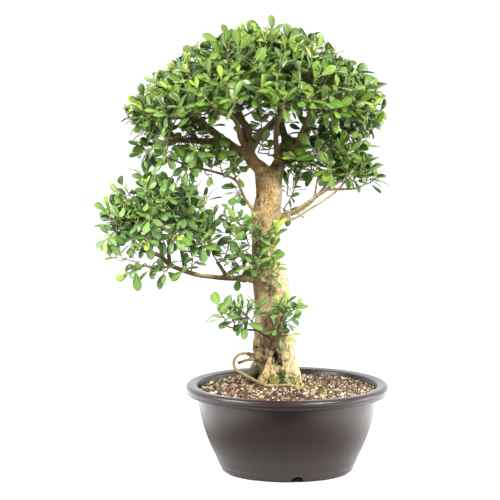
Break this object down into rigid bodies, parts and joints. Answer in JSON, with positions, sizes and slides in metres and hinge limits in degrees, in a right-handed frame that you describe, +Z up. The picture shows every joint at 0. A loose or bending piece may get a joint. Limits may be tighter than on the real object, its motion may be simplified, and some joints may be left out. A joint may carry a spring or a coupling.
{
  "type": "potted bonsai tree",
  "caption": "Small-leaved ficus bonsai with a thick pale trunk, domed crown and lower foliage pads, in a round dark plastic training pot filled with granular soil.",
  "frame": {"origin": "centre of the whole plant's bounding box, on the surface that the pot stands on", "axes": "+Z up along the trunk; +X to the right and +Y away from the viewer, as the plant is seen from its front, with the long left pad towards -X"},
  "size_m": [0.6042, 0.4916, 0.9097],
  "materials": {
    "pot_plastic": "satin",
    "soil": "matte",
    "bark": "matte",
    "leaf": "satin"
  },
  "bodies": {
    "root": {"pot": "pot_plastic", "soil": "soil", "trunk": "bark", "spray_crown_01": "leaf", "spray_crown_02": "leaf", "spray_crown_03": "leaf", "spray_crown_04": "leaf", "spray_crown_05": "leaf", "spray_crown_06": "leaf", "spray_crown_07": "leaf", "spray_crown_08": "leaf", "spray_crown_09": "leaf", "spray_crown_10": "leaf", "spray_crown_11": "leaf", "spray_crown_12": "leaf", "spray_crown_13": "leaf", "spray_crown_14": "leaf", "spray_crown_15": "leaf", "spray_crown_16": "leaf", "spray_crown_17": "leaf", "spray_crown_18": "leaf", "spray_crown_19": "leaf", "spray_crown_20": "leaf", "spray_crown_21": "leaf", "spray_crown_22": "leaf", "spray_crown_23": "leaf", "spray_tier_left_01": "leaf", "spray_tier_left_02": "leaf", "spray_tier_left_03": "leaf", "spray_tier_left_04": "leaf", "spray_tier_right_01": "leaf", "spray_tier_right_02": "leaf", "spray_tier_right_03": "leaf", "spray_tier_right_04": "leaf", "spray_tier_right_05": "leaf", "spray_tier_right_06": "leaf", "spray_pad_left_01": "leaf", "spray_pad_left_02": "leaf", "spray_pad_left_03": "leaf", "spray_pad_left_04": "leaf", "spray_pad_left_05": "leaf", "spray_pad_left_06": "leaf", "spray_pad_left_07": "leaf", "spray_pad_left_08": "leaf", "spray_pad_left_09": "leaf", "spray_pad_inner": "leaf", "spray_pad_twig": "leaf", "spray_mid_left": "leaf", "spray_mid_front": "leaf", "spray_trunk_front": "leaf", "spray_trunk_right": "leaf", "spray_low_right": "leaf", "spray_low_left": "leaf", "spray_low_twig": "leaf"}
  },
  "joints": []
}
